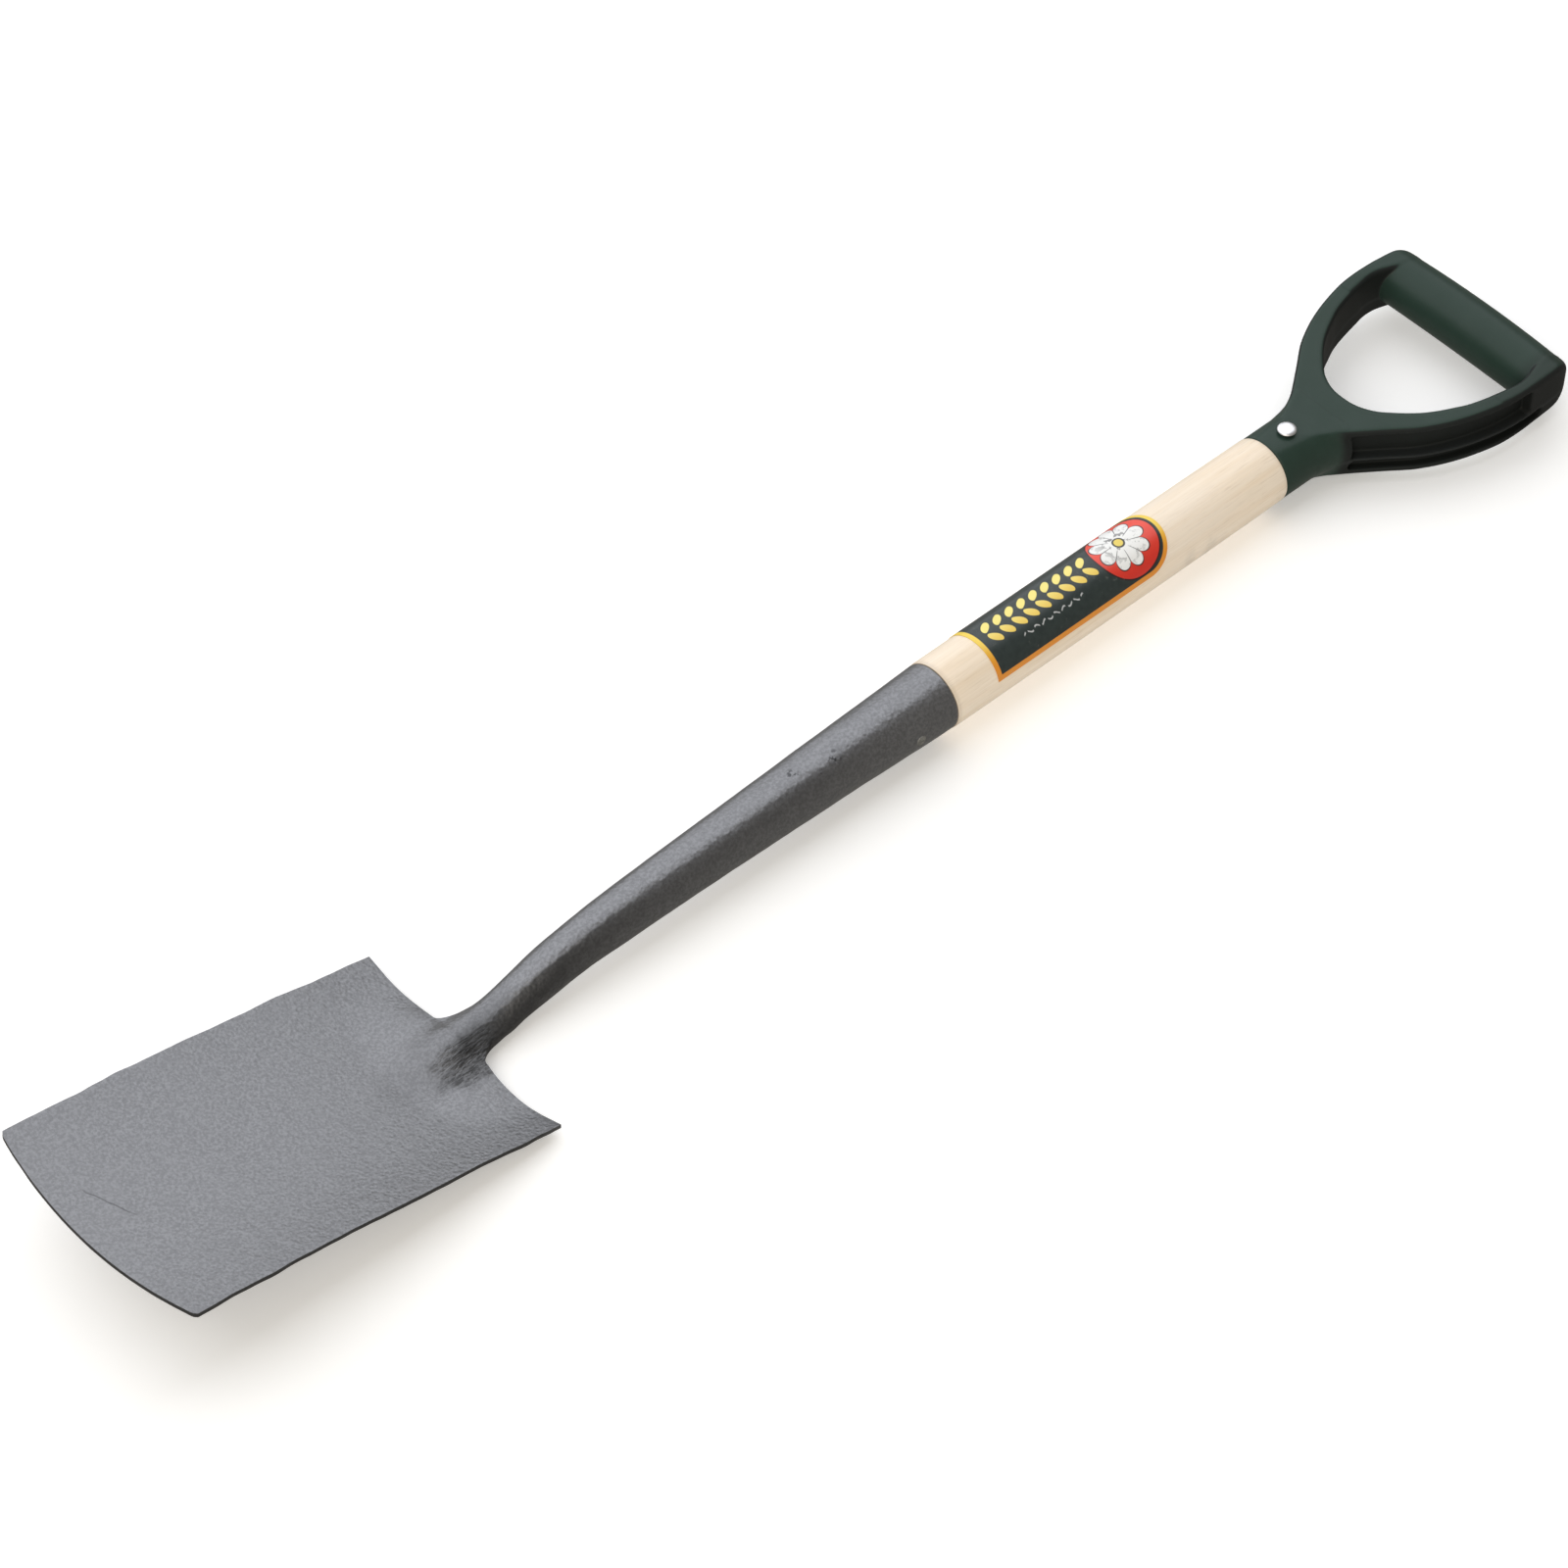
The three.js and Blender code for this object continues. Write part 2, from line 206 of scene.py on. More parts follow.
def readTable(table, x, column):
    # eases through a table sorted by its first column
    if x <= table[0][0]:
        return table[0][column]
    if x >= table[-1][0]:
        return table[-1][column]
    i = next(k for k, row in enumerate(table) if row[0] > x)
    slopes = []
    for k in (i - 1, i):
        before, after = table[max(k - 1, 0)], table[min(k + 1, len(table) - 1)]
        slopes.append((after[column] - before[column]) / (after[0] - before[0]))
    (xa, ya), (xb, yb) = [(table[k][0], table[k][column]) for k in (i - 1, i)]
    width = xb - xa
    t = (x - xa) / width
    return ((2 * t**3 - 3 * t**2 + 1) * ya + (t**3 - 2 * t**2 + t) * width * slopes[0]
            + (3 * t**2 - 2 * t**3) * yb + (t**3 - t**2) * width * slopes[1])


def curveThrough(points, steps):
    # a smooth line through the points, spaced evenly in the list
    line = []
    count = len(points) - 1
    for n in range(steps + 1):
        at = n / steps * count
        i = min(int(at), count - 1)
        t = at - i
        p = [points[max(i - 1, 0)], points[i], points[i + 1], points[min(i + 2, count)]]
        line.append([0.5 * ((2 * p[1][k]) + (p[2][k] - p[0][k]) * t
                            + (2 * p[0][k] - 5 * p[1][k] + 4 * p[2][k] - p[3][k]) * t * t
                            + (3 * p[1][k] - p[0][k] - 3 * p[2][k] + p[3][k]) * t**3) for k in (0, 1)])
    return line


def addPiece(name, vertices, faces, material, nodes, creaseAngle=35):
    # vertices are in millimetres from the socket's mouth
    data = bpy.data.meshes.new(name)
    data.from_pydata([(x / 1000, y / 1000, z / 1000) for x, y, z in vertices], [], faces)
    build = bmesh.new()
    build.from_mesh(data)
    bmesh.ops.remove_doubles(build, verts=build.verts, dist=1e-7)
    bmesh.ops.recalc_face_normals(build, faces=build.faces)
    build.to_mesh(data)
    build.free()
    data.validate()
    piece = bpy.data.objects.new(name, data)
    scene.collection.objects.link(piece)
    piece.location = mouth
    data.materials.append(material)
    for polygon in data.polygons:
        polygon.use_smooth = True
    if creaseAngle:
        data.set_sharp_from_angle(angle=math.radians(creaseAngle))
    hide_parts(*nodes)
    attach(piece, "root")
    return piece


def lathe(profile, segments, axis, centre=(0, 0, 0), wobble=None):
    # turns a profile of (along, radius) about an axis through the centre
    vertices, faces = [], []
    for row, (along, radius) in enumerate(profile):
        for k in range(segments):
            turn = 2 * math.pi * k / segments
            r = radius + (wobble(along, turn) if wobble and radius > 0.1 else 0)
            across, up = r * math.cos(turn), r * math.sin(turn)
            point = {"x": (along, across, up), "y": (across, along, up), "z": (across, up, along)}[axis]
            vertices.append([point[i] + centre[i] for i in range(3)])
        if row:
            a, b = (row - 1) * segments, row * segments
            for k in range(segments):
                after = (k + 1) % segments
                faces.append((a + k, a + after, b + after, b + k))
    last = (len(profile) - 1) * segments
    faces += [tuple(reversed(range(segments))), tuple(range(last, last + segments))]
    return vertices, faces


# The blade, neck and socket are one painted forging
head = {
    "tipX": -534.8, "shoulderX": -311.9, "halfTip": 70.4, "halfShoulder": 69.7, "sideBulge": 0.5,
    "tipZ": 32.8, "shoulderZ": -18.0, "bow": 3, "dish": 7.5, "tipArc": 7.9, "shoulderSag": 3.0,
    "nearHollow": 2.1, "halfThick": 1.4, "cornerCut": 1.2, "ridgeHeight": 6.2, "ridgeHalf": 19,
    "fadeLength": 44,
    "rootHalf": 20.6, "rootX": -314.9, "filletLength": 11.4, "lift": 10.5, "liftWidth": 58,
    "roundLength": 30, "settleLength": 22, "bladeRows": 96, "centreColumns": 48, "sideColumns": 34,
    "neckStep": 2.2, "unevenness": 0.19,
    "stations": [  # along, half width, half height, centre height
        (-314, 12.9, 8.6, -15.0), (-303, 12.2, 9.2, -15.3), (-292, 11.5, 10.0, -14.6),
        (-287, 11.1, 10.4, -13.5), (-282, 10.9, 10.8, -12.0), (-277, 11.1, 11.1, -10.6),
        (-272, 11.35, 11.35, -9.4), (-262, 11.8, 11.8, -7.2), (-251, 12.0, 12.0, -5.3),
        (-236, 12.35, 12.35, -3.4), (-220, 13.0, 13.0, -2.3), (-189, 13.75, 13.75, -1.4),
        (-158, 14.45, 14.45, -0.8), (-127, 15.2, 15.2, -0.5), (-90, 16.25, 16.25, -0.2), (-53, 17.2, 17.2, 0),
        (-20, 18.2, 18.2, 0), (0, 18.7, 18.7, 0)],
    "lip": [(-0.9, 0.03), (-0.35, 0.12), (-0.08, 0.35), (0, 0.7), (0, 1.4), (-0.2, 1.68), (-1.2, 1.8)],
    "boreEnd": (-149, 10.5), "softEdge": 0.0003,
}


def ridgeFade(x):
    return 1 - smoothStep((head["rootX"] - x) / head["fadeLength"])


def bladeHeight(x, y):
    t = (x - head["shoulderX"]) / (head["tipX"] - head["shoulderX"])
    half = blend(head["halfShoulder"], head["halfTip"], t)
    chord = blend(head["shoulderZ"], head["tipZ"], t) + head["bow"] * 4 * t * (1 - t)
    reach = min(1, abs(y) / head["liftWidth"])
    lift = head["lift"] * ridgeFade(x) * math.cos(reach * math.pi / 2) ** 2
    return chord - head["dish"] * max(0, 1 - (y / half) ** 2) + lift


def bladeThickness(x, y):
    reach = min(1, abs(y) / head["ridgeHalf"])
    return head["halfThick"] + head["ridgeHeight"] * ridgeFade(x) * math.cos(reach * math.pi / 2) ** 2


def bladeRow(t):
    half = blend(head["halfTip"], head["halfShoulder"], t) + head["sideBulge"] * 4 * t * (1 - t)
    count, side = head["centreColumns"], head["sideColumns"]
    centre = [head["rootHalf"] * (2 * j / count - 1) for j in range(count + 1)]
    outer = [blend(head["rootHalf"], half, (j + 1) / side) for j in range(side)]
    across = [-y for y in reversed(outer)] + centre + outer
    row = []
    for y in across:
        edge = max(0, 1 - (half - abs(y)) / 2.4) ** 2 * head["cornerCut"] * max(0, 1 - t * 60)
        tip = head["tipX"] - head["tipArc"] * (1 - (y / head["halfTip"]) ** 2) + edge
        shoulder = head["shoulderX"] - head["shoulderSag"] * math.cos(y / half * math.pi / 2)
        if y < -head["rootHalf"]:
            share = (-y - head["rootHalf"]) / (half - head["rootHalf"])
            shoulder -= head["nearHollow"] * math.sin(math.pi * share ** 0.8)
        x = blend(tip, shoulder, t)
        row.append((x, y, bladeHeight(x, y), bladeThickness(x, y)))
    return row


def neckRow(x):
    along = x - head["rootX"]
    roundness = smoothStep(along / head["roundLength"])
    fillet = min(1, along / head["filletLength"])
    flare = (head["rootHalf"] - head["stations"][0][1]) * (1 - math.sqrt(max(0, 1 - (1 - fillet) ** 2)))
    width = readTable(head["stations"], x, 1) + flare
    count = head["centreColumns"]
    row = []
    for j in range(count + 1):
        angle = math.pi - math.pi / (count + 1) * (j + 0.5)
        y = width * blend(2 * j / count - 1, math.cos(angle), roundness)
        settled = smoothStep(along / head["settleLength"])
        z = blend(bladeHeight(head["rootX"], y), readTable(head["stations"], x, 3), settled)
        tall = readTable(head["stations"], x, 2) * math.sin(angle)
        thick = blend(bladeThickness(head["rootX"], y), tall, roundness)
        row.append((x, y, z, thick))
    return row


def headMesh():
    rows, offsets = [], []
    for i in range(head["bladeRows"] + 1):
        t = i / head["bladeRows"]
        rows.append(bladeRow(t))
        offsets.append(0)
    steps, side = 20, head["sideColumns"]
    along = [head["rootX"] + 21 * ((i + 1) / steps) ** 1.7 for i in range(steps)]
    while along[-1] < head["lip"][0][0] - head["neckStep"]:
        along.append(along[-1] + head["neckStep"])
    for x in along:
        rows.append(neckRow(x))
        offsets.append(side)
    vertices, grid = [], []
    for row in rows:
        ids = []
        for x, y, z, thick in row:
            wave = noise.noise(Vector((x / 30, y / 12, z / 12)))
            wave += 0.5 * noise.noise(Vector((x / 11, y / 6, z / 6 + 30)))
            rough = head["unevenness"] * wave * min(1, thick / 3)
            ids.append(len(vertices))
            spread = 1 + rough / max(8, abs(thick) + 6)
            vertices.append((x, y * spread, z + thick + rough))
            vertices.append((x, y * spread, z - thick - rough))
        grid.append(ids)
    quads = []
    for i in range(1, len(grid)):
        skip = offsets[i] - offsets[i - 1]
        low, high = grid[i - 1], grid[i]
        for j in range(1, len(high)):
            quads.append((low[j - 1 + skip], high[j - 1], high[j], low[j + skip]))
    faces = []
    for a, b, c, d in quads:
        faces.append((a, b, c, d))
        faces.append((d + 1, c + 1, b + 1, a + 1))
    # the rim joins the upper skin to the lower one
    edges = {(quad[k], quad[(k + 1) % 4]): True for quad in quads for k in range(4)}
    rim = [edge for edge in edges if (edge[1], edge[0]) not in edges]
    top = set(grid[-1])
    faces += [(b, a, a + 1, b + 1) for a, b in rim if not (a in top and b in top)]
    # the mouth: over the lip and down the bore
    ring = grid[-1] + [v + 1 for v in reversed(grid[-1])]
    count = head["centreColumns"] + 1
    turns = [math.pi - math.pi / count * (j + 0.5) for j in range(count)]
    turns = turns + [-turn for turn in reversed(turns)]
    sections = [(x, readTable(head["stations"], x, 1) - inward) for x, inward in head["lip"]]
    sections.append(head["boreEnd"])
    for x, radius in sections:
        fresh = []
        for turn in turns:
            fresh.append(len(vertices))
            vertices.append((x, radius * math.cos(turn), radius * math.sin(turn)))
        for k in range(len(ring)):
            m = (k + 1) % len(ring)
            faces.append((ring[k], ring[m], fresh[m], fresh[k]))
        ring = fresh
    faces.append(tuple(ring))
    return vertices, faces


headPaintLook = {
    "colour": (0.232, 0.233, 0.242), "light": (0.315, 0.317, 0.328), "dark": (0.135, 0.136, 0.141),
    # the scale and edge colours are painted shade, on the neck's near side and root and on the blade's edge
    # walls; the streak colour marks hammer streaks inside that painted shade
    "scale": (0.036, 0.036, 0.036), "edge": (0.045, 0.045, 0.043), "streak": (0.022, 0.022, 0.022),
    "bare": (0.030, 0.030, 0.032), "roughness": 0.30, "pimple": 0.00022, "wave": 0.0008,
    # places are along, across and sometimes up, in metres, with their sizes after them
    "hammerShadePatch": (-0.320, -0.0145, 0.024, 0.0130), "streakTurn": -4,
    "shades": [(-0.300, -0.007, 0.028, 0.013, 0.42), (-0.338, -0.006, 0.040, 0.022, 0.16)],
    "flank": (0.0069, 0.06, 0.0096),
    "scratch": (-0.512, 0.012), "nick": (-0.499, -0.040, 0.028),
    "chips": [(-0.098, -0.001, 0.016, 0.0046), (-0.075, -0.006, 0.0157, 0.0060),
              (-0.086, -0.008, 0.0150, 0.0030)],
}


def headPaint():
    look = headPaintLook
    f = Finish("greyHammeredPaint", {"Metallic": 0.8, "Specular IOR Level": 0.5})
    x, y, z = f.axes()
    fine = f.grain(640, 3.0, 0.62)
    coarse = f.grain(260, 3.0, 0.6)
    patch = f.grain(28, 2.0, 0.5)
    pimples = f.cells(520, "SMOOTH_F1")
    wander = f.grain(130, 2.0, 0.5) - 0.5

    def around(place):
        # 0 in the middle of an oval and 1 on its edge, squared
        alongBy, acrossBy = (x - place[0]) / place[2], (y - place[1]) / place[3]
        return alongBy * alongBy + acrossBy * acrossBy

    def spot(place, inner, outer):
        return f.distance(f.point, place).step(inner, outer, 1.0, 0.0)

    # the near flank of the neck's root is left rough and streaked by the hammer, and painted shade darkens it
    turned = {"Vector": f.point, "Angle": math.radians(look["streakTurn"])}
    slant = f.node("ShaderNodeVectorRotate", {"rotation_type": "Z_AXIS"}, turned)
    blows = f.grain(1, 2.0, 0.6, f.stretched(190, 780, 300, slant))
    rootHammerAndShade = (around(look["hammerShadePatch"]) ** 0.5 + wander * 1.1).step(0.25, 1.25, 1.0, 0.0)
    rootHammerAndShade = rootHammerAndShade * y.step(-0.005, 0.003, 1.0, 0.0)
    rootShade = 0.0
    for *place, amount in look["shades"]:
        rootShade = around(place).step(0.0, 1.0, 1.0, 0.0) * amount + rootShade
    # painted shade: a darker band runs up the near side, below a slightly wavy line
    across, along, slope = look["flank"]
    fromLine = y + wander * 0.004 + across + (x + along) * slope
    neckSideShade = fromLine.step(-0.0009, 0.0005, 1.0, 0.0) * fromLine.step(-0.010, -0.0045, 0.25, 1.0)
    neckSideShade = neckSideShade * (x + wander * 0.02).step(-0.318, -0.300) * x.step(-0.29, -0.17, 0.78, 0.36)
    neckSideShade = neckSideShade * x.step(-0.10, -0.02, 1.0, 0.25)

    line = x - look["scratch"][0] + y * 0.35 + f.grain(90) * 0.006
    scratch = line.band(0.0, 0.0, 0.0009) * y.band(look["scratch"][1], 0.008, 0.016)
    chips = 0.0
    for *place, size in look["chips"]:
        chips = spot(tuple(place), size * 0.35, size) + chips
    chips = chips * f.grain(420, 2.0, 0.6).step(0.50, 0.60)
    nick = spot(look["nick"], 0.0005, 0.0016)

    # painted shade: the blade's edge walls, which face sideways, are painted darker in the edge colour
    facing = f.axes(f.node("ShaderNodeNewGeometry", {}, {}, "Normal"))[2]
    bladeEdgeShade = abs(facing).step(0.25, 0.6, 1.0, 0.0) * x.step(-0.330, -0.300, 1.0, 0.0)
    colour = f.mix(fine.step(0.36, 0.66), look["dark"], look["light"])
    colour = f.mix(0.52 + patch * 0.20, colour, look["colour"])
    # painted shade: the blade's edge walls and the neck's near side and root are painted darker, and the
    # hammer streaks darker still
    colour = f.mix(bladeEdgeShade * 0.8, colour, look["edge"])
    colour = f.mix((neckSideShade + rootHammerAndShade * 0.30 + rootShade).smaller(0.72), colour, look["scale"])
    colour = f.mix(rootHammerAndShade * blows.step(0.42, 0.60) * 0.62, colour, look["streak"])
    colour = f.mix((scratch * 0.55 + nick * 0.8 + chips * 0.75).smaller(1.0), colour, look["bare"])
    normal = f.bump(pimples, look["pimple"], 0.9)
    normal = f.bump(coarse, 0.00030, 0.6, normal)
    normal = f.bump(patch, look["wave"], 0.5, normal)
    normal = f.bump(blows * rootHammerAndShade, 0.0009, 0.9, normal)
    roughness = look["roughness"] + fine * 0.12 + rootHammerAndShade * 0.15 + neckSideShade * 0.10
    return f.wear(colour=colour, roughness=roughness, normal=normal)


print("forging")
vertices, faces = headMesh()
headPiece = addPiece("bladeAndSocket", vertices, faces, headPaint(), ["head"], 60)
softEdge = headPiece.modifiers.new("softEdge", "BEVEL")
softEdge.width = head["softEdge"]
softEdge.segments = 2
softEdge.limit_method = "ANGLE"
softEdge.angle_limit = math.radians(55)


# The ash shaft
shaft = {
    # along and radius; the last four points are the tenon inside the handle
    "profile": [(0.2, 16.6), (0.2, 18.75), (0.6, 18.95), (1.4, 19.0), (20, 19.03), (60, 19.05), (110, 19.05),
                (160, 19.05), (185, 18.98), (210, 18.87), (225, 18.78), (236.6, 18.7), (237.2, 18.55),
                (237.4, 18.2), (237.4, 13.5), (268, 13.5), (271.4, 13.1), (271.6, 12.6)],
    "tail": [(-148.5, 9.6), (-148.2, 10.2)], "segments": 128, "unevenness": 0.05,
    "stops": [(0.30, (0.90, 0.735, 0.540)), (0.48, (0.96, 0.815, 0.640)), (0.66, (0.98, 0.850, 0.690))],
    "fibre": (0.80, 0.67, 0.50), "pore": (0.62, 0.47, 0.32), "cloud": (0.92, 0.84, 0.74),
    "stain": (0.50, 0.44, 0.37), "stainAt": (0.096, -0.019, -0.004), "end": (0.45, 0.36, 0.27),
}


def ashWood():
    f = Finish("ashWood", {"Coat Weight": 0.35, "Coat Roughness": 0.28, "Specular IOR Level": 0.4})
    x, y, z = f.axes()
    sway = f.grain(5, 2.0, 0.5, None, 1)
    bent = f.shifted(f.stretched(0.055, 1.0, 1.0), sway, 0.006)
    rings = f.grain(190, 3.0, 0.55, bent)
    fine = f.grain(900, 3.0, 0.6, f.stretched(0.028, 1.0, 1.0))
    pores = f.grain(1500, 2.0, 0.55, f.stretched(0.05, 1.0, 1.0)).step(0.56, 0.72)
    cloud = f.grain(9, 2.0, 0.5)
    colour = f.ramp(rings, shaft["stops"])
    colour = f.mix(fine.step(0.3, 0.75) * 0.35, colour, shaft["fibre"])
    colour = f.mix(pores * 0.28, colour, shaft["pore"])
    colour = f.mix(cloud.step(0.55, 0.8) * 0.25, colour, shaft["cloud"])
    # a faint grey stain below the handle
    stain = f.distance(f.stretched(0.55, 1, 1), shaft["stainAt"]).step(0.004, 0.012, 0.35, 0.0)
    colour = f.mix(stain * f.grain(120).step(0.35, 0.7), colour, shaft["stain"])
    ends = (x.step(0.0, 0.0035, 1.0, 0.0) + x.step(0.2345, 0.2378)).smaller(1.0)
    colour = f.mix(ends * 0.35, colour, shaft["end"])
    normal = f.bump(rings, 0.00012, 0.5)
    normal = f.bump(fine, 0.00005, 0.6, normal)
    return f.wear(colour=colour, roughness=0.42 + fine * 0.12, normal=normal)


def shaftSwell(along, turn):
    return shaft["unevenness"] * noise.noise(Vector((along / 40, math.cos(turn), math.sin(turn))))


print("shaft")
profile = shaft["tail"] + shaft["profile"]
dense = []
for (a, ra), (b, rb) in zip(profile, profile[1:]):
    pieces = max(1, int((b - a) / 8)) if b > a else 1
    dense += [(blend(a, b, k / pieces), blend(ra, rb, k / pieces)) for k in range(pieces)]
dense.append(profile[-1])
vertices, faces = lathe(dense, shaft["segments"], "x", (0, 0, 0), shaftSwell)
addPiece("ashShaft", vertices, faces, ashWood(), ["shaft"], 40)


# The moulded handle, a D with a round grip bar
handle = {
    # lengths along the handle start at its mouth, x millimetres up the shaft
    "x": 237.8, "drop": -1.2, "halfDepth": 16.35, "edgeRound": 3.0, "ferruleRadius": 18.5, "ferruleEnd": 44,
    "mouthRound": 0.8, "neckEnd": 118, "boreRadius": 13.7, "boreDepth": 35.5, "flatFrom": 34,
    "mouthDepth": 19.4, "capRadius": 15.3,
    "gripAt": 157.9, "gripRadius": 15.0, "gripHalf": 54.5, "gripEndRound": 4.0, "underside": 0.09,
    # outlines of one arm as along and across, and the ferrule's flare as along and radius
    "flare": [(0, 18.5), (22, 18.5), (30, 19.5), (36, 20.8), (40, 22), (44, 23.4)],
    "outer": [(14, 5), (23, 8.4), (30, 12.8), (37, 17.8), (44, 22.6), (52, 28.4), (60, 34.3), (66, 38.9),
              (72, 43.2), (80, 47.6), (88, 51.3), (96, 54.3), (104, 56.7), (113, 58.9), (122, 60.5),
              (132, 61.3), (142, 61.3), (151, 60.9), (157, 60.5), (163, 59.6), (168.5, 57.6),
              (173.2, 53.8)],
    "inner": [(171, 47), (163, 47), (154, 48.4), (147.5, 50.6), (141, 52.4), (134, 52.8), (127, 51.7),
              (119, 50.3), (112, 48.7), (104, 46.3), (97, 43.1), (89.5, 39.4), (82, 34.8), (75, 29),
              (69.5, 23.6), (65, 18.6), (61.5, 12.3), (59.6, 6), (59.2, 0)],
    # recesses along the outside of each arm: from, to, low, high, depth
    "recesses": [(39, 139, -4.4, 12.4, 6.4), (43, 149, -12.2, -6.0, 5.2)], "recessEdge": 0.5,
    "recessRound": 2.2, "recessFloorRound": 0.8, "clearFrom": 37, "clearSlope": 3, "clearMost": 8,
    "lean": 0.006, "leanFrom": 20, "cornerLean": 0.03, "cornerFrom": 145, "bow": 1.4, "swell": 0.5,
    "voxel": 0.6, "blendRadius": 2.2, "fieldLow": (-2.4, -65.0, -21.6), "fieldHigh": (176.0, 65.0, 21.6),
    "band": 3.0, "stops": [(0.3, (0.020, 0.041, 0.030)), (0.7, (0.025, 0.047, 0.036))],
    # the wall colour is painted shade on the arms' walls, the rib colour a painted highlight along the rib,
    # and the tip colour painted shade at the near arm's end
    "wall": (0.0110, 0.0110, 0.0114), "ribHighlight": (0.028, 0.029, 0.031), "tip": (0.009, 0.016, 0.011),
}


def roundMax(a, b, radius):
    # the overlap of two solids with its edge rounded
    x, y = np.maximum(radius + a, 0), np.maximum(radius + b, 0)
    return np.minimum(-radius, np.maximum(a, b)) + np.sqrt(x * x + y * y)


def roundMin(a, b, radius):
    return -roundMax(-a, -b, radius)


def lineDistance(line, gridX, gridY):
    best = np.full(gridX.shape, 1e9)
    for (ax, ay), (bx, by) in zip(line, line[1:]):
        ex, ey = bx - ax, by - ay
        wx, wy = gridX - ax, gridY - ay
        t = np.clip((wx * ex + wy * ey) / max(ex * ex + ey * ey, 1e-12), 0, 1)
        best = np.minimum(best, (wx - ex * t) ** 2 + (wy - ey * t) ** 2)
    return np.sqrt(best)


def outlineDistance(outline, gridX, gridY):
    # signed distance to a closed outline, negative inside
    inside = np.zeros(gridX.shape, bool)
    for (ax, ay), (bx, by) in zip(outline, outline[1:] + outline[:1]):
        if ay != by:
            inside ^= ((ay > gridY) != (by > gridY)) & (gridX < ax + (gridY - ay) * (bx - ax) / (by - ay))
    return np.where(inside, -1, 1) * lineDistance(outline + outline[:1], gridX, gridY)


def handleField():
    v = handle["voxel"]
    lows, highs = np.array(handle["fieldLow"]), np.array(handle["fieldHigh"])
    counts = np.ceil((highs - lows) / v).astype(int) + 1
    u = (lows[0] + v * np.arange(counts[0]))[:, None, None]
    y = (lows[1] + v * np.arange(counts[1]))[None, :, None]
    # the arms close in a little towards the grip bar
    leaning = handle["lean"] * np.maximum(u - handle["leanFrom"], 0)
    y = y + leaning + handle["cornerLean"] * np.maximum(u - handle["cornerFrom"], 0)
    z = (lows[2] + v * np.arange(counts[2]))[None, None, :]
    w = z - handle["drop"]
    flatU, flatY = np.broadcast_arrays(u[:, :, 0], y[:, :, 0])
    outerLine = curveThrough(handle["outer"], 130)
    innerLine = curveThrough(handle["inner"], 120)
    half = outerLine + innerLine
    outline = half + [(p, -q) for p, q in reversed(half[:-1])]
    across = outlineDistance(outline, flatU, flatY)[:, :, None]
    # side view: deeper round the ferrule, easing down to the grip bar
    along = np.clip(u / handle["flatFrom"], 0, 1)
    depth = handle["mouthDepth"] + (handle["halfDepth"] - handle["mouthDepth"]) * along
    ease = np.clip((u - handle["neckEnd"]) / (handle["gripAt"] - handle["neckEnd"]), 0, 1)
    depth = depth + (handle["capRadius"] - handle["halfDepth"]) * ease
    below = w * (1 + handle["underside"] * ease * (w < 0))
    cap = np.sqrt((u - handle["gripAt"]) ** 2 + below ** 2) - handle["capRadius"]
    slab = np.where(u > handle["gripAt"], cap, np.abs(below) - depth) + 0 * y
    arms = roundMax(across, slab, handle["edgeRound"])
    # the recesses along the outside of each arm
    fromOutside = lineDistance(outerLine, flatU, np.abs(flatY))[:, :, None]
    given = np.clip((u - handle["clearFrom"]) * handle["clearSlope"], 0, handle["clearMost"])
    clearOfFerrule = handle["ferruleRadius"] - np.abs(y) - given
    for start, end, low, high, deep in handle["recesses"]:
        reach = np.maximum(start - u, u - end)
        window = roundMax(np.abs(w - (low + high) / 2) - (high - low) / 2, reach, handle["recessRound"])
        pocket = roundMax(fromOutside - deep, window, handle["recessFloorRound"])
        pocket = roundMax(pocket, clearOfFerrule, 0.5)
        arms = roundMax(arms, -pocket, handle["recessEdge"])
    # ferrule
    flareU, flareR = zip(*handle["flare"])
    radius = np.interp(u[:, 0, 0], flareU, flareR)[:, None, None]
    ferrule = np.sqrt(y ** 2 + z ** 2) - radius
    ferrule = roundMax(ferrule, roundMax(-u, u - handle["ferruleEnd"], 0.5), handle["mouthRound"])
    body = roundMin(arms, ferrule, handle["blendRadius"])
    body = np.where(u < handle["neckEnd"], roundMax(body, np.abs(w) - depth, 1.2), body)
    # grip bar
    crown = np.maximum(1 - (y / handle["gripHalf"]) ** 2, 0)
    fromAxis = np.sqrt((u - handle["gripAt"] - handle["bow"] * crown) ** 2 + below ** 2)
    bar = fromAxis - handle["gripRadius"] - handle["swell"] * crown
    bar = roundMax(bar, np.abs(y) - handle["gripHalf"], handle["gripEndRound"])
    body = roundMin(body, bar, 0.8)
    bore = roundMax(np.sqrt(y ** 2 + z ** 2) - handle["boreRadius"], u - handle["boreDepth"], 0.5)
    return roundMax(body, -bore, 0.4), lows


def handleMesh():
    field, lows = handleField()
    grid = openvdb.FloatGrid(background=handle["band"])
    grid.copyFromArray(np.clip(field, -handle["band"], handle["band"]).astype(np.float32))
    points, triangles, quads = grid.convertToPolygons(isovalue=0.0, adaptivity=0.0)
    points = points * handle["voxel"] + lows + np.array([handle["x"], 0, 0])
    return points.tolist(), [tuple(map(int, q)) for q in quads] + [tuple(map(int, t)) for t in triangles]


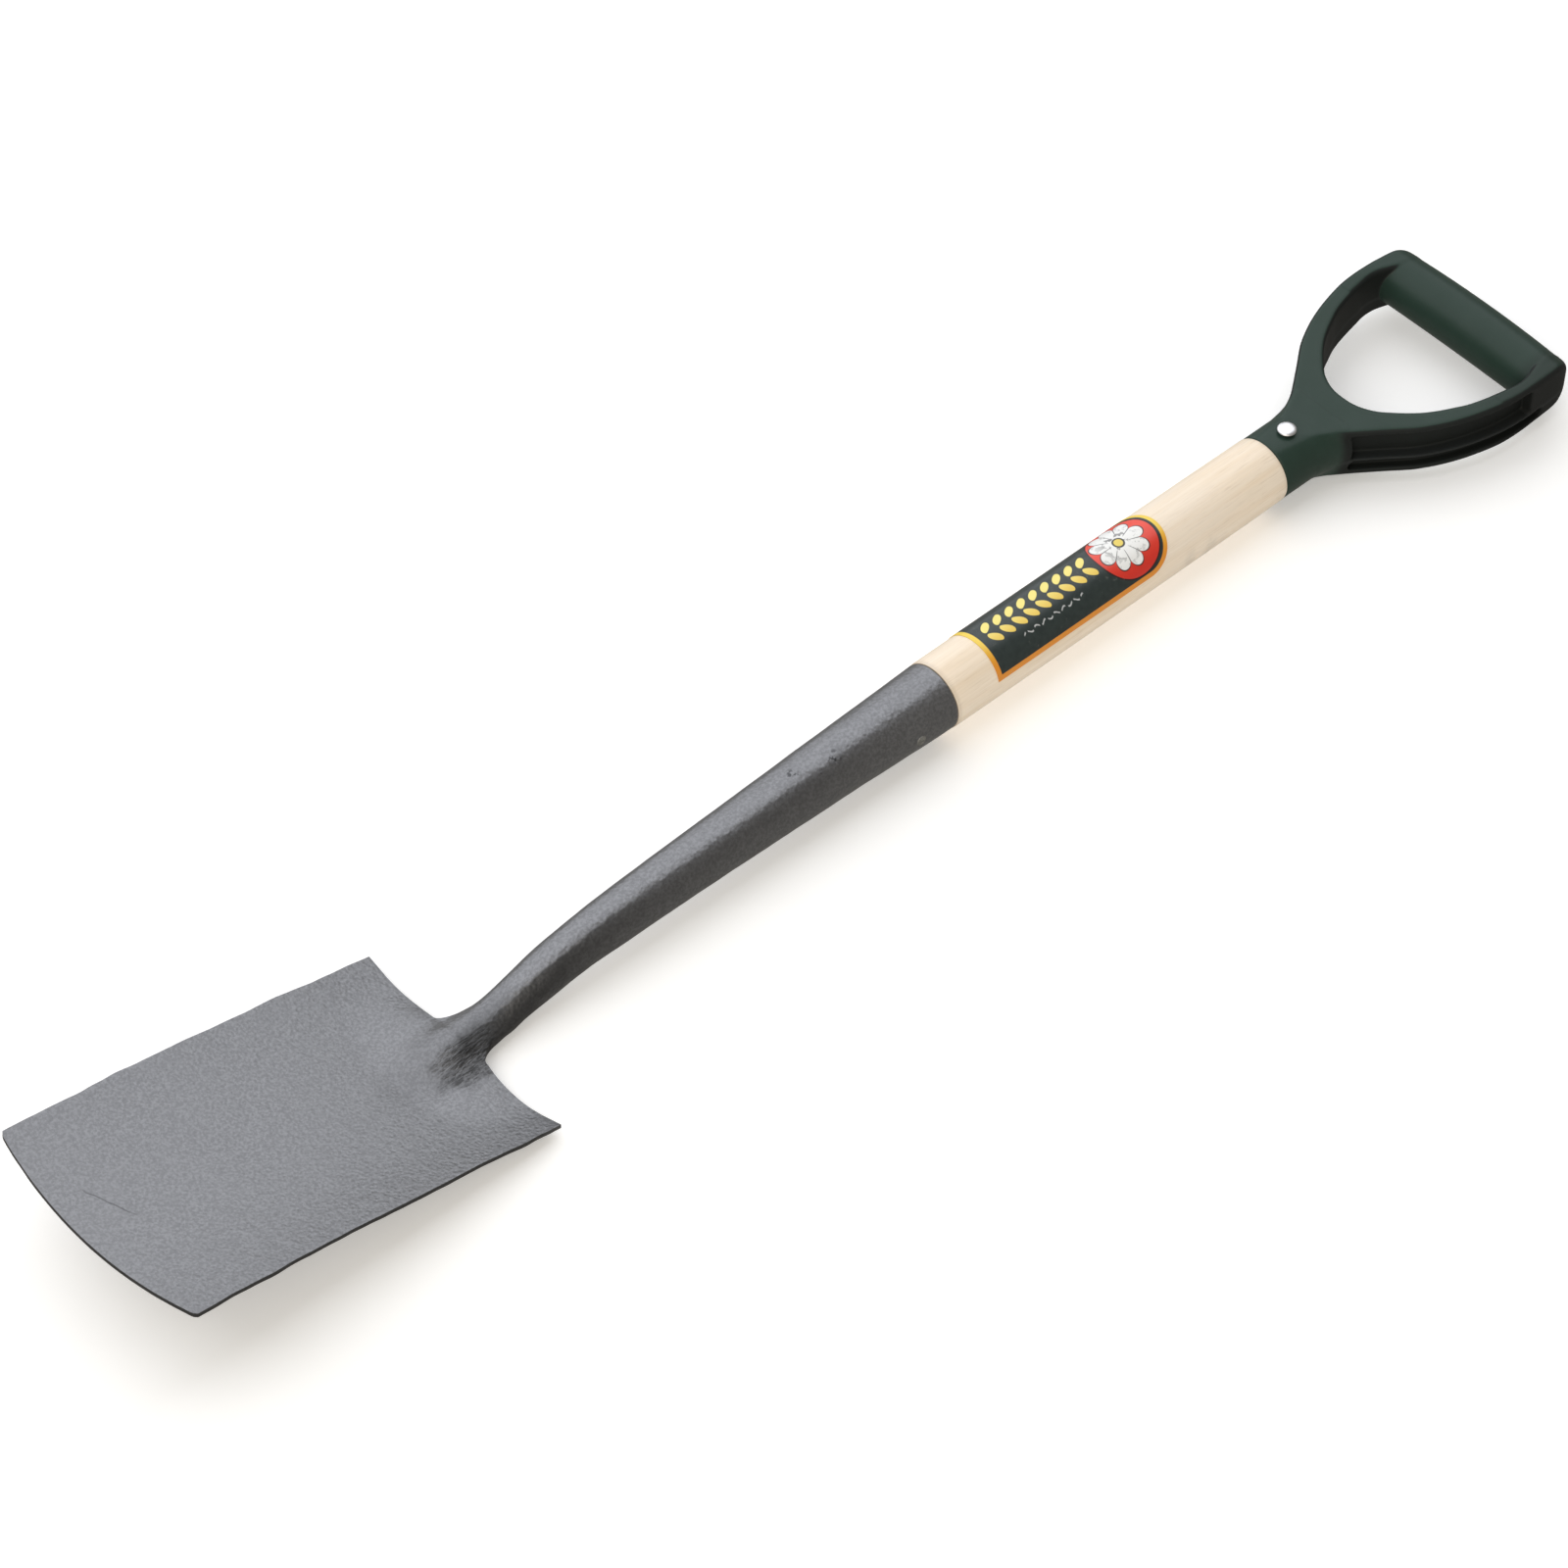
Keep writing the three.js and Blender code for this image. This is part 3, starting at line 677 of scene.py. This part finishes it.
def greenPlastic():
    f = Finish("greenMoulding", {"Specular IOR Level": 0.26})
    x, y, z = f.axes()
    cloud = f.grain(38, 3.0, 0.55)
    fine = f.grain(1400, 2.0, 0.5)
    colour = f.ramp(cloud, handle["stops"])
    # painted shade: the walls of the arms and their recesses are painted darker than their faces, and made
    # rougher
    sideways = abs(f.axes(f.node("ShaderNodeNewGeometry", {}, {}, "Normal"))[1])
    between = z.step(-0.0150, -0.0135) * z.step(0.0092, 0.0108, 1.0, 0.0)
    onBar = x.step(0.3765, 0.3790) * abs(y).step(0.0520, 0.0540, 1.0, 0.0)
    wall = sideways.step(0.30, 0.62).larger(between * (1 - onBar)) * x.step(0.273, 0.279)
    tipShade = x.step(0.335, 0.368) * y.step(-0.052, -0.042, 1.0, 0.0)
    colour = f.mix(tipShade * 0.5, colour, handle["tip"])
    # painted highlight: a lighter line along the rib between the recesses, inside the painted shade of the
    # walls
    ribHighlight = z.band(-0.0064, 0.0007, 0.0016)
    colour = f.mix(wall * 0.86, colour, f.mix(ribHighlight * 0.6, handle["wall"], handle["ribHighlight"]))
    normal = f.bump(fine, 0.00005, 0.5)
    normal = f.bump(cloud, 0.0006, 0.35, normal)
    return f.wear(colour=colour, roughness=0.34 + fine * 0.08 + wall * 0.22, normal=normal)


print("handle")
vertices, faces = handleMesh()
handlePiece = addPiece("greenHandle", vertices, faces, greenPlastic(), ["handle"], 0)
relax = handlePiece.modifiers.new("relax", "SMOOTH")
relax.factor = 0.5
relax.iterations = 4


# The two rivets
rivets = {
    "handle": {"x": 237.8 + 16.3, "radius": 3.2, "half": 18.55, "headRadius": 5.2, "headHeight": 1.5,
               "dome": 0.3, "light": (0.90, 0.90, 0.91), "dark": (0.78, 0.78, 0.80), "roughness": 0.32},
    "socket": {"x": -25.0, "radius": 3.1, "half": 17.7, "headRadius": 3.1, "headHeight": 0.95,
               "dome": 0.1, "light": (0.62, 0.62, 0.60), "dark": (0.28, 0.28, 0.27), "roughness": 0.38},
    "segments": 48, "domeSteps": 12, "rim": 0.14,
}


def rivetProfile(r):
    # from the middle of one head, along the shank, to the middle of the other
    half, wide, rim = r["half"], r["headRadius"], rivets["rim"]
    end = [(half - 0.6, r["radius"]), (half, r["radius"]), (half + 0.02, wide - 0.12), (half + rim, wide)]
    for k in range(1, rivets["domeSteps"] + 1):
        turn = k / rivets["domeSteps"] * math.pi / 2
        rise = (r["headHeight"] + r["dome"] - rim) * math.sin(turn) ** 1.1
        end.append((half + rim + rise, max(0.02, wide * math.cos(turn) ** 0.8)))
    return [(-along, radius) for along, radius in reversed(end)] + end


def rivetSteel(name, r):
    f = Finish(name, {"Metallic": 1.0, "Specular IOR Level": 0.5})
    grime = f.grain(420, 3.0, 0.6)
    fine = f.grain(1800, 2.0, 0.5)
    colour = f.mix(grime.step(0.35, 0.65), r["light"], r["dark"])
    return f.wear(colour=colour, roughness=r["roughness"] + grime * 0.15, normal=f.bump(fine, 0.00004, 0.5))


print("rivets")
for pieceName, key, axis, steelName, node in (("handleRivet", "handle", "z", "brightRivet", "handle_rivet"),
                                              ("socketRivet", "socket", "y", "wornRivet", "socket_rivet")):
    r = rivets[key]
    vertices, faces = lathe(rivetProfile(r), rivets["segments"], axis, (r["x"], 0, 0))
    addPiece(pieceName, vertices, faces, rivetSteel(steelName, r), [node], 50)


# The printed label, a thin sheet round the shaft
label = {
    "from": 28, "to": 156, "halfAngle": 71, "centreAngle": -4, "radius": 19.14, "thick": 0.22,
    "roundShare": 0.82, "columns": 96, "rows": 60,
    # sizes of the artwork in millimetres, along from the socket's mouth and across from the label's middle
    "borderWidth": 2.9, "discAt": 132.3, "discRadius": 19.5, "ringRadius": 20.3,
    "petals": 9, "flower": 16.2, "flowerShift": (-1.5, 2.0), "eye": 2.5, "eyeRing": 3.5,
    "leafFrom": 32.5, "leafPitch": 8.4, "leafWidth": 2.9, "leaves": 9, "rowAt": 1.4, "leafSlope": 0.62,
    "leafMiddle": 4.0, "leafHalf": 3.5, "stemFrom": 52.5, "stemTo": 94.5, "stemAt": -10.2,
    # border, red and leaf each hold a darker and a lighter colour, blended darker towards the near side of
    # the shaft as painted shade
    "panel": ((0.020, 0.030, 0.029), (0.027, 0.039, 0.037)),
    "border": ((0.80, 0.29, 0.022), (0.92, 0.66, 0.075)),
    "red": ((0.66, 0.030, 0.016), (0.86, 0.075, 0.045)), "ring": (0.02, 0.012, 0.012),
    "outline": (0.018, 0.018, 0.018), "petal": (0.90, 0.90, 0.88), "eyeDark": (0.03, 0.03, 0.03),
    "eyeColour": (0.85, 0.66, 0.12), "leaf": ((0.88, 0.62, 0.10), (0.94, 0.80, 0.22)),
    "stem": (0.75, 0.76, 0.76), "scuff": (0.5, 0.48, 0.42),
}
labelReach = math.radians(label["halfAngle"])
labelHalf = label["radius"] * labelReach  # half the label's width, laid flat
labelCap = labelHalf * label["roundShare"]  # length of the label's rounded end


def labelEnd(across):
    return label["to"] - labelCap * (1 - math.sqrt(max(0, 1 - (0.999 * across) ** 2)))


def labelMesh():
    vertices, faces = [], []
    columns, rows = label["columns"], label["rows"]
    turned = math.radians(label["centreAngle"])
    for i in range(columns + 1):
        across = math.sin((2 * i / columns - 1) * math.pi / 2)
        angle = across * labelReach + turned
        for j in range(rows + 1):
            x = blend(label["from"], labelEnd(across), j / rows)
            for radius in (label["radius"] + label["thick"], label["radius"] + 0.01):
                vertices.append((x, radius * math.sin(angle), radius * math.cos(angle)))
    at = lambda i, j, under: 2 * (i * (rows + 1) + j) + under
    for i in range(columns):
        for j in range(rows):
            faces.append((at(i, j, 0), at(i, j + 1, 0), at(i + 1, j + 1, 0), at(i + 1, j, 0)))
            faces.append((at(i, j, 1), at(i + 1, j, 1), at(i + 1, j + 1, 1), at(i, j + 1, 1)))
    rim = ([(i, 0) for i in range(columns)] + [(columns, j) for j in range(rows)]
           + [(i, rows) for i in range(columns, 0, -1)] + [(0, j) for j in range(rows, 0, -1)])
    for (a, b), (c, d) in zip(rim, rim[1:] + rim[:1]):
        faces.append((at(a, b, 0), at(c, d, 0), at(c, d, 1), at(a, b, 1)))
    return vertices, faces


def labelPrint():
    f = Finish("labelPrint", {"Specular IOR Level": 0.5, "Coat Weight": 0.15, "Coat Roughness": 0.25})
    x, y, z = f.axes()
    along = x * 1000
    across = (f.angle(y, z) - math.radians(label["centreAngle"])) * label["radius"]

    def within(value, limit, softness=0.2):
        return value.step(limit - softness, limit + softness, 1.0, 0.0)

    # distance in from the label's edge
    bend = across / (labelHalf * 1.001)
    capAlong = ((along - (label["to"] - labelCap)) / labelCap).larger(0.0)
    capDistance = labelHalf * (1 - (capAlong * capAlong + bend * bend) ** 0.5)
    edge = capDistance.smaller(labelHalf - abs(across)).smaller(along - label["from"])
    panel = f.mix(f.grain(300).step(0.3, 0.7), *label["panel"])
    # painted shade: the border darkens towards the near side of the shaft
    border = f.mix(across.step(-17.0, 2.0), *label["border"])
    colour = f.mix(within(edge, label["borderWidth"], 0.15), panel, border)

    # red disc with a thin dark ring
    discX = along - label["discAt"]
    far = (discX * discX + across * across) ** 0.5
    colour = f.mix(within(far, label["ringRadius"]), colour, label["ring"])
    # painted shade: the red disc darkens towards the near side of the shaft
    colour = f.mix(within(far, label["discRadius"]), colour, f.mix(across.step(-18.0, 6.0), *label["red"]))

    # white flower head with a yellow eye
    shiftX, shiftY = label["flowerShift"]
    flowerX, flowerY = discX - shiftX, across - shiftY
    out = (flowerX * flowerX + flowerY * flowerY) ** 0.5
    turned = f.angle(flowerY, flowerX) * (label["petals"] / 2)
    lobe = abs(turned.maths("COSINE", turned))
    past = out - label["flower"] * (0.66 + 0.34 * lobe ** 0.55)
    colour = f.mix(within(past, 0.55), colour, label["outline"])
    ink = f.grain(300, 3.0, 0.6).step(0.53, 0.60) * out.step(4.0, 13.0, 0.75, 0.25)
    parting = lobe.step(0.06, 0.16, 0.85, 0.0) * out.step(4.5, 6.0)
    white = within(past, -0.15) * (1 - parting.larger(ink))
    colour = f.mix(white, colour, label["petal"])
    colour = f.mix(within(out, label["eyeRing"]), colour, label["eyeDark"])
    colour = f.mix(within(out, label["eye"]), colour, label["eyeColour"])

    # an ear of pointed yellow leaves down the panel
    rowY = abs(across - label["rowAt"])
    rowX = (along - label["leafFrom"] - rowY * label["leafSlope"]) / label["leafPitch"]
    inCell = (rowX - rowX.maths("FLOOR", rowX) - 0.5) * label["leafPitch"]
    up = (rowY - label["leafMiddle"]) / label["leafHalf"]
    bulge = (1 - up * up).larger(0.0) ** 0.65
    leaf = within(abs(inCell) - label["leafWidth"] * bulge, -0.125, 0.175) * up.step(0.97, 1.0, 1.0, 0.0)
    leaf = leaf * rowX.step(0.0, 0.02) * rowX.step(label["leaves"] - 0.02, label["leaves"], 1.0, 0.0)
    # painted shade: the leaves darken towards the near side of the shaft
    colour = f.mix(leaf, colour, f.mix(across.step(-6.0, 5.0), *label["leaf"]))

    # a fine broken stem beside the row
    wavy = along * 0.95
    stem = within(abs(across - label["stemAt"] - wavy.maths("SINE", wavy) * 0.85), 0.41)
    stem = stem * (1 - within(along, label["stemFrom"], 0.5)) * within(along, label["stemTo"], 0.5)
    gaps = along * 1.35
    stem = stem * gaps.maths("SINE", gaps).step(-0.75, -0.35)
    colour = f.mix(stem * 0.70, colour, label["stem"])

    scuffs = f.grain(240, 3.0, 0.65).step(0.62, 0.75)
    colour = f.mix(scuffs * 0.12, colour, label["scuff"])
    normal = f.bump(f.grain(500), 0.00004, 0.4)
    return f.wear(colour=colour, roughness=0.34 + scuffs * 0.2, normal=normal)


print("label")
vertices, faces = labelMesh()
addPiece("wrapLabel", vertices, faces, labelPrint(), ["label"], 50)


# Floor, light and camera
studio = {
    "floor": (0.93, 0.92, 0.90), "floorMottle": (0.87, 0.87, 0.87), "glow": 0.30, "floorReach": 12.0,
    "floorGap": 0.0006, "world": (1.0, 0.95, 0.86), "worldStrength": 0.24,
    "panels": [  # name, centre, facing away from, size, power, colour
        ("overheadPanel", (0.45, 1.0, 1.96), (0, 0.466, 0.885), (5.9, 3.6), 82, (0.95, 0.985, 1.05)),
        ("backPanel", (0.65, 3.4, 0.62), (0, 1, 0.05), (3.3, 1.0), 14, (0.95, 0.985, 1.05)),
        ("warmFill", (-2.1, -1.5, 1.9), (-0.70, -0.46, 0.55), (2.4, 2.4), 38, (1.0, 0.925, 0.81)),
    ],
    "cameraAt": (-1.5724, -1.46957, 2.36498), "cameraRight": (0.728704, -0.684263, 0.027822),
    "cameraUp": (0.499928, 0.559284, 0.661267), "cameraBack": (-0.468041, -0.467959, 0.749634),
    "lens": 146.547, "sensor": 36,
}


def paleFloor():
    f = Finish("paleFloor", {"Specular IOR Level": 0.1, "Emission Color": (*studio["floor"], 1),
                             "Emission Strength": studio["glow"]})
    tone = f.grain(3, 2.0, 0.5)
    colour = f.mix(tone, studio["floor"], studio["floorMottle"])
    return f.wear(colour=colour, roughness=0.9)


print("studio")
floorData = bpy.data.meshes.new("floor")
reach = studio["floorReach"]
corners = [(-reach, -reach, 0), (reach, -reach, 0), (reach, reach, 0), (-reach, reach, 0)]
floorData.from_pydata(corners, [], [(0, 1, 2, 3)])
floor = bpy.data.objects.new("floor", floorData)
scene.collection.objects.link(floor)
floor.location.z = cadBox[0][2] - studio["floorGap"]
floorData.materials.append(paleFloor())
floor.visible_glossy = False

world = bpy.data.worlds.new("studioWorld")
world.use_nodes = True
backdrop = next(n for n in world.node_tree.nodes if n.type == "BACKGROUND")
backdrop.inputs["Color"].default_value = (*studio["world"], 1)
backdrop.inputs["Strength"].default_value = studio["worldStrength"]
scene.world = world

for name, centre, away, size, power, colour in studio["panels"]:
    lamp = bpy.data.lights.new(name, "AREA")
    lamp.shape = "RECTANGLE"
    lamp.energy = power
    lamp.color = colour
    lamp.size, lamp.size_y = size
    panel = bpy.data.objects.new(name, lamp)
    scene.collection.objects.link(panel)
    panel.location = mouth + Vector(centre)
    panel.rotation_euler = Vector(away).to_track_quat("Z", "Y").to_euler()
    panel.visible_camera = False

cameraData = bpy.data.cameras.new("camera")
cameraData.lens = studio["lens"]
cameraData.sensor_width = studio["sensor"]
cameraData.clip_start = 0.1
cameraData.clip_end = 60
camera = bpy.data.objects.new("camera", cameraData)
scene.collection.objects.link(camera)
turn = Matrix([studio["cameraRight"], studio["cameraUp"], studio["cameraBack"]]).transposed().to_4x4()
camera.matrix_world = Matrix.Translation(mouth + Vector(studio["cameraAt"])) @ turn
scene.camera = camera

scene.view_settings.view_transform = "Standard"
scene.view_settings.look = "None"
